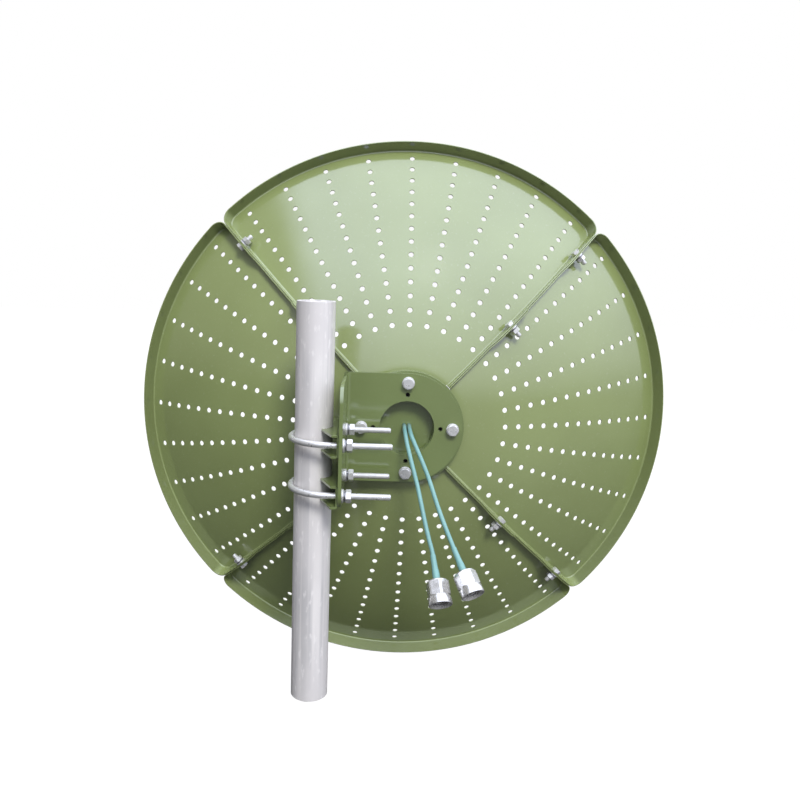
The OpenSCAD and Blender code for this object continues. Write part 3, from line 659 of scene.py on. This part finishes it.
# rows of cells from the hub out: two plain ones, then one for each ring of holes
RINGS = ring_radii()
ROW_EDGES = [HUB_EDGE, 73, 90] + [(a + b) / 2 for a, b in zip(RINGS, RINGS[1:])]
RIM_START = LIP_RADIUS - BEND * cos(atan(LIP_RADIUS / (2 * FOCAL_LENGTH)))
COLUMN_EDGES = [(k - ROW_COUNT / 2) * ROW_PITCH for k in range(ROW_COUNT + 1)]


def corner_arc():
    """The rounded corner as (r, a) from the rim to the side, where the sheet starts to bend."""
    lean_radius = RIM_START - CORNER_ARC * cos(atan(RIM_START / (2 * FOCAL_LENGTH)))
    tilt = cos(float(slope(lean_radius)))
    centre = RIM_START - CORNER_ARC * tilt
    lean = asin((SIDE + CORNER_ARC) / centre)
    reach = CORNER_ARC * sqrt(cos(lean) ** 2 + (tilt * sin(lean)) ** 2)
    lean = asin((SIDE + reach) / centre)
    phi = np.linspace(0, atan2(cos(lean), -tilt * sin(lean)), 13)
    x = centre + CORNER_ARC * np.cos(phi) * tilt
    y = CORNER_ARC * np.sin(phi)
    return np.hypot(x, y), pi / 4 - lean + np.arctan2(y, x)


def between(low, high, count):
    return low + (high - low) * np.arange(count) / count


def cell_outline(r_low, r_high, a_low, a_high, corner=False):
    """Outline of a cell of sheet as (r, a), anticlockwise from its outer right corner.

    a_low and a_high are functions of the radius. A corner cell has the rounded corner in
    the middle of its outline and twice as many points on its two outer sides."""
    if corner:
        arc_r, arc_a = corner_arc()
        flat = 2 * STEPS - len(arc_r) // 2
        side_r = between(arc_r[-1], r_low, flat)
        sides = [(np.full(flat, r_high), between(a_low(r_high), arc_a[0], flat)), (arc_r[:-1], arc_a[:-1])]
    else:
        side_r = between(r_high, r_low, STEPS)
        sides = [(np.full(STEPS, r_high), between(a_low(r_high), a_high(r_high), STEPS))]
    sides.append((side_r, a_high(side_r)))
    sides.append((np.full(STEPS, r_low), between(a_high(r_low), a_low(r_low), STEPS)))
    side_r = between(r_low, r_high, STEPS)
    sides.append((side_r, a_low(side_r)))
    return [np.concatenate(part) for part in zip(*sides)]


class SheetMesh:
    """Quads and their corner normals, welded into one mesh at the end."""

    def __init__(self):
        self.points, self.faces, self.normals, self.count = [], [], [], 0

    def grid(self, points, normals, ring=False):
        rows, columns = points.shape[:2]
        index = self.count + np.arange(rows * columns).reshape(rows, columns)
        if ring:
            index = np.concatenate([index, index[:, :1]], 1)
            normals = np.concatenate([normals, normals[:, :1]], 1)
        corners = [np.s_[:-1, :-1], np.s_[:-1, 1:], np.s_[1:, 1:], np.s_[1:, :-1]]
        self.faces.append(np.stack([index[c] for c in corners], -1).reshape(-1, 4))
        self.normals.append(np.stack([normals[c] for c in corners], -2).reshape(-1, 4, 3))
        self.points.append(points.reshape(-1, 3))
        self.count += rows * columns

    def mirrored(self):
        """The same quads reflected across azimuth zero."""
        flip = np.array([1, -1, 1])
        other = SheetMesh()
        other.points, other.normals = [p * flip for p in self.points], [n * flip for n in self.normals]
        other.faces, other.count = list(self.faces), self.count
        return other

    def add(self, other):
        self.faces += [f + self.count for f in other.faces]
        self.points += other.points
        self.normals += other.normals
        self.count += other.count

    def build(self, name, matrix):
        """Welds, turns every face outwards and makes the mesh with its corner normals."""
        points, faces = np.concatenate(self.points), np.concatenate(self.faces)
        normals = np.concatenate(self.normals)
        key = np.round(points, 3) + 0.0
        _, first, inverse = np.unique(key, axis=0, return_index=True, return_inverse=True)
        points, faces = points[first], inverse.reshape(-1)[faces]
        corners = points[faces]
        facing = np.cross(corners[:, 2] - corners[:, 0], corners[:, 3] - corners[:, 1])
        wrong = (facing * normals.mean(1)).sum(1) < 0
        faces[wrong], normals[wrong] = faces[wrong][:, ::-1], normals[wrong][:, ::-1]
        rotation, offset = np.array(matrix.to_3x3()), np.array(matrix.translation)
        points, normals = points @ rotation.T + offset, normals @ rotation.T
        mesh = bpy.data.meshes.new(name)
        mesh.from_pydata((points * MM).tolist(), [], faces.tolist())
        mesh.shade_smooth()
        mesh.normals_split_custom_set(normals.reshape(-1, 3).tolist())
        return mesh


def hole_cell(sheet, outline, r0, a0, radius, quarters=(STEPS,) * 4):
    """A cell of sheet with a round hole: rear skin, rounded hole edges, hole wall, front skin.

    quarters counts the outline's points for each quarter of the hole."""
    theta = np.concatenate([radians(-45 + 90 * k) + between(0, pi / 2, n) for k, n in enumerate(quarters)])
    tilt = float(np.cos(slope(r0)))

    def circle(rho):
        x, y = r0 + rho * np.cos(theta) * tilt, rho * np.sin(theta)
        return np.hypot(x, y), a0 + np.arctan2(y, x)

    outline_r, outline_a = outline
    near_r, near_a = circle(radius + EDGE)
    wide_r, wide_a = circle(radius + HOLE_MARGIN)
    wall_r, wall_a = circle(radius)
    inward = -(on_sheet(wall_r, wall_a) - on_sheet(np.array([r0]), np.array([a0])))
    inward /= np.linalg.norm(inward, axis=1)[:, None]
    loops = [(outline_r, outline_a, 0), (wide_r, wide_a, 0), (near_r, near_a, 0),
             (wall_r, wall_a, EDGE), (wall_r, wall_a, SHEET - EDGE), (near_r, near_a, SHEET),
             (wide_r, wide_a, SHEET), (outline_r, outline_a, SHEET)]
    points = np.stack([on_sheet(r, a) - d * rear_normal(r, a) for r, a, d in loops])
    normals = np.stack([rear_normal(r, a) for r, a, _ in loops])
    normals[3:5] = inward
    normals[5:] *= -1
    sheet.grid(points, normals, ring=True)


def plain_cell(sheet, r_low, r_high, a_low, a_high):
    r = np.linspace(r_low, r_high, STEPS + 1)
    share = np.linspace(0, 1, STEPS + 1)
    a = np.stack([a_low(v) + (a_high(v) - a_low(v)) * share for v in r])
    r = np.repeat(r[:, None], STEPS + 1, 1)
    points, normals = on_sheet(r, a), rear_normal(r, a)
    sheet.grid(points, normals)
    sheet.grid(points - SHEET * normals, -normals)


def column_limits(column):
    """Azimuth limits of a column as functions of the radius."""
    low, high = COLUMN_EDGES[column], COLUMN_EDGES[column + 1]
    a_low = (lambda r: -side_angle(r)) if column == 0 else (lambda r: low + 0 * r)
    a_high = side_angle if column == ROW_COUNT - 1 else (lambda r: high + 0 * r)
    return a_low, a_high


def flange_path():
    """The bend's start along half a petal, as (r, a, w): w is 0 at the rim and 1 at the side."""
    r, a = [], []
    for column in range(ROW_COUNT // 2, ROW_COUNT - 1):
        a += list(between(COLUMN_EDGES[column], COLUMN_EDGES[column + 1], STEPS))
    a = [v for v in a if v > -1e-6]  # the half from azimuth zero on
    r = [RIM_START] * len(a)
    w = [0.0] * len(a)
    a_low, a_high = column_limits(ROW_COUNT - 1)
    last_r, last_a = cell_outline(ROW_EDGES[-1], RIM_START, a_low, a_high, corner=True)
    outer = 4 * STEPS  # points on the corner cell's two outer sides
    arc_r, _ = corner_arc()
    flat = 2 * STEPS - len(arc_r) // 2
    r, a = r + list(last_r[:outer]), a + list(last_a[:outer])
    w += [0.0] * flat + list(np.linspace(0, 1, len(arc_r)))[:-1] + [1.0] * flat
    for low, high in reversed(list(zip(ROW_EDGES, ROW_EDGES[1:]))):
        side = list(between(high, low, STEPS))
        r, a, w = r + side, a + [float(side_angle(v)) for v in side], w + [1.0] * STEPS
    return np.array(r + [HUB_EDGE]), np.array(a + [float(side_angle(HUB_EDGE))]), np.array(w + [1.0])


def flange_grid(sheet):
    """The bend and the upright flange or lip, swept along half of the petal's outline."""
    r, a, w = flange_path()
    points = on_sheet(r, a)
    ahead = np.concatenate([points[1:], [2 * points[-1] - points[-2]]])
    behind = np.concatenate([[points[1] * [1, -1, 1]], points[:-1]])
    along = ahead - behind
    along /= np.linalg.norm(along, axis=1)[:, None]
    up = rear_normal(r, a)
    up = up - w[:, None] * (up @ SEAM_NORMAL)[:, None] * SEAM_NORMAL
    up = up - (up * along).sum(1)[:, None] * along
    up /= np.linalg.norm(up, axis=1)[:, None]
    out = np.cross(along, up)
    to_seam = 200  # on the side, out is towards the seam
    out *= np.sign((out * (points * [1, 1, 0] + to_seam * w[:, None] * SEAM_NORMAL)).sum(1))[:, None]
    height = np.where(w == 1, flange_height(r), LIP_HEIGHT)
    step = pi / 8  # the bend is a quarter turn in four steps
    arms = [sin(step * k) * out - cos(step * k) * up for k in range(5)]
    centre = points + BEND * up
    section, facing = [centre + BEND * arm for arm in arms], [-arm for arm in arms]
    for offset, drop, normal in [(0, EDGE, -out), (EDGE, 0, up), (SHEET - EDGE, 0, up), (SHEET, EDGE, out)]:
        section.append(points + (BEND + offset) * out + (height - drop)[:, None] * up)
        facing.append(normal)
    section += [centre + (BEND + SHEET) * arm for arm in reversed(arms)]
    facing += reversed(arms)
    sheet.grid(np.stack(section, 1), np.stack(facing, 1))
    end = np.stack([s[-1] for s in section])
    half = len(end) // 2
    pairs = np.stack([end[:half], end[::-1][:half]])
    sheet.grid(pairs, np.broadcast_to(along[-1], pairs.shape))


def edge_strip(sheet, r, a, normal):
    """The sheet's cut edge along points (r, a)."""
    rear = on_sheet(r, a)
    front = rear - SHEET * rear_normal(r, a)
    points = np.stack([rear, front])
    sheet.grid(points, np.broadcast_to(normal, points.shape))


def petal_sheet():
    """One petal on azimuth zero."""
    sheet = SheetMesh()
    middle = ROW_COUNT // 2
    bolt_row = [PETAL_INNER, 2 * HUB_BOLT_CIRCLE - PETAL_INNER, HUB_EDGE]
    plain_rows = [bolt_row[1], *ROW_EDGES[:3]]
    ring_rows = [*ROW_EDGES[2:], RIM_START]
    for column in range(ROW_COUNT):
        limits = column_limits(column)
        centre = (column - middle) * ROW_PITCH
        if column == middle:
            hole_cell(sheet, cell_outline(*bolt_row[:2], *limits), HUB_BOLT_CIRCLE, 0, HUB_BOLT_HOLE / 2)
        else:
            plain_cell(sheet, *bolt_row[:2], *limits)
        for low, high in zip(plain_rows, plain_rows[1:]):
            plain_cell(sheet, low, high, *limits)
        for ring, low, high in zip(RINGS, ring_rows, ring_rows[1:]):
            if ring < RINGS[-1] or 0 < column < ROW_COUNT - 1:
                hole_cell(sheet, cell_outline(low, high, *limits), ring, centre, PERFORATION / 2)
    corner = SheetMesh()
    outline = cell_outline(*ring_rows[-2:], *column_limits(ROW_COUNT - 1), corner=True)
    quarters = [2 * STEPS, 2 * STEPS, STEPS, STEPS]
    hole_cell(corner, outline, RINGS[-1], middle * ROW_PITCH, PERFORATION / 2, quarters)
    flange_grid(corner)
    for low, high in zip(bolt_row, bolt_row[1:]):
        r = np.linspace(low, high, STEPS + 1)
        edge_strip(corner, r, side_angle(r), SEAM_NORMAL)
    sheet.add(corner)
    sheet.add(corner.mirrored())
    for column in range(ROW_COUNT):
        a_low, a_high = column_limits(column)
        a = np.linspace(a_low(PETAL_INNER), a_high(PETAL_INNER), STEPS + 1)
        edge_strip(sheet, np.full(STEPS + 1, float(PETAL_INNER)), a, np.array([-1.0, 0, 0]))
    return sheet


def make_petals():
    sheet = petal_sheet()
    for k, name in enumerate(["petal_right", "petal_bottom", "petal_left", "petal_top"]):
        mesh = sheet.build(name + "_sheet", BORESIGHT @ turn(90 * k))
        finish_piece(add_object(name + "_sheet", mesh), "olive_paint", "antenna", [name])


make_petals()


# ======================== hardware
def hex_head(size, sides=48):
    """A chamfered head below z = 0, with a round washer face against it."""
    flats, height = size["flats"], size["head"]
    shoulder = flats * HEX_SHOULDER
    return skin([
        *circles([(shoulder * 0.985, -height), (shoulder, -height + 0.06)], sides),
        hex_ring(flats, chamfered(-height, shoulder, HEX_LEAN), sides),
        hex_ring(flats, chamfered(-0.35, shoulder, 0), sides),
        *circles([(shoulder, -0.2), (shoulder, 0)], sides),
    ])


def threaded_rod(size, start, end, thread_start, sides=32):
    """A rod along z with a rolled thread from thread_start to its rounded end."""
    r = size["thread"] / 2
    core = lathe([(r * 0.9, start), (r * 0.9, end - 0.9), (r * 0.72, end - 0.15), (r * 0.6, end)],
                 sides, closed=False)
    parts = [core, helix_ridge(r * 0.9, r, size["pitch"], thread_start, end - 0.9)]
    if thread_start > start + 1:
        parts.append(lathe([(r * 0.9, start), (r, start + 0.1), (r, thread_start - 0.4),
                            (r * 0.9, thread_start)], sides, closed=False))
    return join(parts)


def hex_nut(size, sides=48):
    flats, height, r = size["flats"], size["nut"], size["bore"] / 2
    shoulder = flats * HEX_SHOULDER
    return skin([
        *circles([(r + 0.35, 0), (shoulder, 0)], sides),
        hex_ring(flats, chamfered(0, shoulder, HEX_LEAN), sides),
        hex_ring(flats, chamfered(height, shoulder, -HEX_LEAN), sides),
        *circles([(shoulder, height), (r + 0.35, height), (r, height - 0.35), (r, 0.35)], sides),
    ], closed=True)


def flat_washer(size):
    return flat_ring(size[0] / 2, size[1] / 2, size[2], edge=0.18, sides=40)


def spring_washer(size, sides=40):
    """A split ring, nearly pressed flat, whose two ends stand a little apart."""
    inner, outer, height = size[0] / 2, size[1] / 2, size[2]
    e, gap, lift = 0.2, radians(9), 0.12
    section = [(inner + e, e), (outer - e, e), (outer, 2 * e), (outer, height - 2 * e),
               (outer - e, height - e), (inner + e, height - e), (inner, height - 2 * e), (inner, 2 * e)]
    rings = []
    for k in range(sides + 1):
        angle = gap / 2 + (2 * pi - gap) * k / sides
        rise = lift * (k / sides - 0.5) * 2
        rings.append([(r * cos(angle), r * sin(angle), z + rise) for r, z in section])
    return skin(rings)


def add_set(node, part, places, twist=0, material="zinc"):
    """Copies of a fastener at the places, each turned a little further than the last."""
    parts = [move(part, place @ turn(twist * k)) for k, place in enumerate(places)]
    add_piece(node.removesuffix("s") + "_set", parts, material, "antenna", [node])


def nut_stack(prefix, size, at, spring_twist, nut_twist):
    """Flat washer, spring washer and nut on each bolt; at gives the places at a distance along it."""
    flat, spring = size["flat_washer"], size["spring_washer"]
    add_set(prefix + "_flat_washers", flat_washer(flat), at(0))
    add_set(prefix + "_spring_washers", spring_washer(spring), at(flat[2]), spring_twist, "spring_steel")
    add_set(prefix + "_nuts", hex_nut(size), at(flat[2] + spring[2]), nut_twist)


def hub_hardware():
    def at(distance):
        return at_quarters(HUB_BOLT_CIRCLE, disc_high[1] - VERTEX_Y + distance)

    washer = M6["flat_washer"]
    heads = at_quarters(HUB_BOLT_CIRCLE, bracket_front - VERTEX_Y - BRACKET_PLATE - washer[2])
    bolt = join([hex_head(M6), threaded_rod(M6, 0, HUB_BOLT_LENGTH, HUB_BOLT_SHANK)])
    add_set("hub_bolts", bolt, heads, 23)
    add_set("hub_bolt_washers", flat_washer(washer), heads)
    nut_stack("hub", M6, at, spring_twist=70, nut_twist=37)


def seam_hardware():
    """M5 bolts across the seams: their heads on one flange, washers and nuts on the other."""
    face = SEAM_GAP / 2 + SHEET
    places = []
    for k in range(4):
        for radius in SEAM_BOLT_RADII:
            s = atan(radius / (2 * FOCAL_LENGTH))
            x = radius + SEAM_BOLT_HEIGHT * sin(s)
            z = radius * radius / (4 * FOCAL_LENGTH) - SEAM_BOLT_HEIGHT * cos(s)
            places.append(BORESIGHT @ turn(45 + 90 * k) @ shift(x, 0, z) @ turn(-90, "X"))

    def at(distance):
        return [place @ shift(0, 0, face + distance) for place in places]

    bolt = join([hex_head(M5), threaded_rod(M5, 0, SEAM_BOLT_LENGTH, SEAM_BOLT_SHANK)])
    add_set("seam_bolts", bolt, at(-2 * face), 17)
    nut_stack("seam", M5, at, spring_twist=50, nut_twist=29)


def u_bolt(node, height):
    """A bent rod round the mast with a thread along the outer part of both legs."""
    low, high = box_mm(node)
    rod = high[2] - low[2]
    r = rod / 2
    leg = high[1] - r
    crown, tip = low[0] + leg + r, high[0]
    sides, steps = 24, 40

    def ring(centre, direction):
        side = Vector((-direction.y, direction.x, 0))
        return [centre + r * (cos(2 * pi * i / sides) * side + sin(2 * pi * i / sides) * Vector((0, 0, 1)))
                for i in range(sides)]

    rings = [ring(Vector((U_BOLT_SHANK, leg, height)), Vector((-1, 0, 0)))]
    for k in range(steps + 1):
        angle = pi / 2 + pi * k / steps
        centre = Vector((crown + leg * cos(angle), leg * sin(angle), height))
        rings.append(ring(centre, Vector((-sin(angle), cos(angle), 0))))
    rings.append(ring(Vector((U_BOLT_SHANK, -leg, height)), Vector((1, 0, 0))))
    parts = [skin(rings)]
    thread = threaded_rod({**U_BOLT, "thread": rod}, U_BOLT_SHANK - 0.5, tip, U_BOLT_SHANK + 0.3, sides)
    for side in (-1, 1):
        parts.append(move(thread, shift(0, side * leg, height) @ turn(90, "Y")))
    add_piece(node + "_rod", parts, "zinc", "antenna", [node])
    return leg


def clamp_hardware():
    heights = []
    for name in ("upper", "lower"):
        low, high = box_mm("u_bolt_" + name)
        heights.append((low[2] + high[2]) / 2)
        leg = u_bolt("u_bolt_" + name, heights[-1])
    face = box_mm("u_bolt_flat_washers")[0][0]

    def at(distance):
        return [shift(face + distance, side * leg, z) @ turn(90, "Y") for z in heights for side in (-1, 1)]

    nut_stack("u_bolt", U_BOLT, at, spring_twist=80, nut_twist=19)


hub_hardware()
seam_hardware()
clamp_hardware()


# ======================== mast, hub, bracket and saddles
tube = flat_ring(mast_r - MAST_WALL, mast_r, mast_length, edge=0.35, sides=96)
add_piece("mast_pipe", [tube], "mast_metal", "mast", ["mast_tube"])
# the hub, bracket and saddles get the darker copy of the olive paint, which is painted shade
for node, edge in [("hub_ring", 0.5), ("hub_disc", 0.4), ("bracket", 0.45),
                   ("saddle_upper", 0.3), ("saddle_lower", 0.3)]:
    refined(node, "shaded_bracket_paint", "antenna", edge)


# ======================== feed
def reach(node):
    """Outer radius, rear and front of a round node, counted along the boresight."""
    low, high = box_mm(node)
    return (high[0] - low[0]) / 2, low[1] - VERTEX_Y, high[1] - VERTEX_Y


def feed():
    def on_boresight(node, profile, material, sides=96, closed=True, x=0.0):
        part = move(lathe(profile, sides, closed), BORESIGHT @ shift(x))
        add_piece(node + "_piece", [part], material, "antenna", [node])

    r, rear, front = reach("feed_radome")
    edge, wall = 6, 2
    rounded = [(r - edge + edge * cos(t), front - edge + edge * sin(t))
               for t in np.linspace(0, pi / 2, 9)]
    on_boresight("feed_radome", [(r - wall + 0.3, rear), (r - 0.4, rear), (r, rear + 0.4)] + rounded
                 + [(0.4, front), (0.4, front - wall), (r - wall - 4, front - wall),
                    (r - wall - 1, front - wall - 1), (r - wall, front - wall - 4),
                    (r - wall, rear + 0.3)], "radome_plastic")
    r, rear, front = reach("feed_reflector")
    on_boresight("feed_reflector", [(r - 0.3, rear), (r, rear + 0.3), (r, front - 0.3), (r - 0.3, front)],
                 "aluminium", closed=False)
    r, rear, front = reach("feed_seal")
    on_boresight("feed_seal", [(r - 1.5, rear + 0.3), (r - 1.2, rear), (r - 0.4, rear), (r, rear + 0.5),
                               (r, front - 0.5), (r - 0.4, front), (r - 1.2, front), (r - 1.5, front - 0.3)],
                 "rubber")
    for node in ("feed_coax_h", "feed_coax_v"):
        low, high = box_mm(node)
        r, rear, front = reach(node)
        on_boresight(node, [(r * 0.94, rear), (r, rear + 0.2), (r, front - 0.2), (r * 0.94, front)],
                     "coax_jacket", 24, False, (low[0] + high[0]) / 2 - bore_x)
    edges = {
        "feed_base": ("aluminium", 0.4), "feed_tube": ("aluminium", 0.25),
        # the feed screws' tips carry painted shade
        "feed_back_plate": ("radome_plastic", 0.3), "feed_screws": ("tip_shaded_zinc", 0.15),
        "feed_tube_screws": ("zinc", 0.15), "feed_board_h": ("board", 0.08), "feed_board_v": ("board", 0.08),
    }
    for node, (material, edge) in edges.items():
        refined(node, material, "antenna", edge)


feed()


# ======================== light and floor
def make_world():
    """White behind the object. What lights it is a bright sky, stronger the higher it is and
    cut off on the left, with dimmer air below it and a dark ground."""
    world = bpy.data.worlds.new("studio")
    bpy.context.scene.world = world
    world.use_nodes = True
    world.node_tree.nodes.clear()
    place = add_node(world, "ShaderNodeTexCoord").outputs["Generated"]

    def facing(azimuth, elevation, low, high, ramp="SMOOTHSTEP"):
        """0 to 1 as the cosine of the angle to a direction goes from low to high."""
        a, e = radians(azimuth), radians(elevation)
        direction = (sin(a) * cos(e), -cos(a) * cos(e), sin(e))
        return spread(world, vector(world, "DOT_PRODUCT", place, direction, "Value"), 0, 1, low, high, ramp)

    ground = (0.06, 0.06, 0.05)
    haze = (0.24, 0.24, 0.23)
    air = (0.5, 0.495, 0.485)
    sky = (1.75, 1.88, 2.3)
    low_light = blend_colour(world, facing(60, 0, -0.6, 0.5), haze, air)
    low_light = blend_colour(world, facing(0, 90, -0.12, 0.12), ground, low_light)
    overhead = times(world, facing(0, 90, -0.14, 0.7, "LINEAR"), facing(90, 0, -0.62, -0.45))
    light = blend_colour(world, overhead, low_light, sky)
    seen = add_node(world, "ShaderNodeLightPath").outputs["Is Camera Ray"]
    background = add_node(world, "ShaderNodeBackground")
    link(world, blend_colour(world, seen, light, (1, 1, 1)), background.inputs["Color"])
    output = add_node(world, "ShaderNodeOutputWorld")
    link(world, background.outputs["Background"], output.inputs["Surface"])


def make_floor():
    """White to the camera; what it sends back to the object is dim, and less so at the right."""
    size, drop = 6, 0.001
    height = min(cad_box[0][2], 0) - drop
    mesh = bpy.data.meshes.new("floor")
    corners = [(-size, -size, height), (size, -size, height), (size, size, height), (-size, size, height)]
    mesh.from_pydata(corners, [], [(0, 1, 2, 3)])
    floor = add_object("floor", mesh)
    material, shader = new_material("floor", Roughness=0.9, Specular_IOR_Level=0.1,
                                    Emission_Color=(1, 1, 1, 1))
    right = spread(material, along_axis(material, "X"), 0, 1, -0.15, 0.5)
    near = spread(material, along_axis(material, "Y"), 1, 0, -0.2, 0.2)
    tone = blend_colour(material, times(material, right, near), (0.03, 0.03, 0.027), (0.14, 0.135, 0.12))
    link(material, tone, shader.inputs["Base Color"])
    seen = add_node(material, "ShaderNodeLightPath").outputs["Is Camera Ray"]
    link(material, seen, shader.inputs["Emission Strength"])
    mesh.materials.append(material)


def make_key():
    """Soft daylight from the upper right, for its shadows only: reflections see the sky."""
    data = bpy.data.lights.new("key", "SUN")
    data.energy, data.angle = 3.0, radians(16)
    lamp = add_object("key", data)
    lamp.rotation_euler = (radians(46), 0, radians(15))
    lamp.visible_glossy = False


make_world()
make_floor()
make_key()
bpy.context.scene.view_settings.view_transform = "Standard"
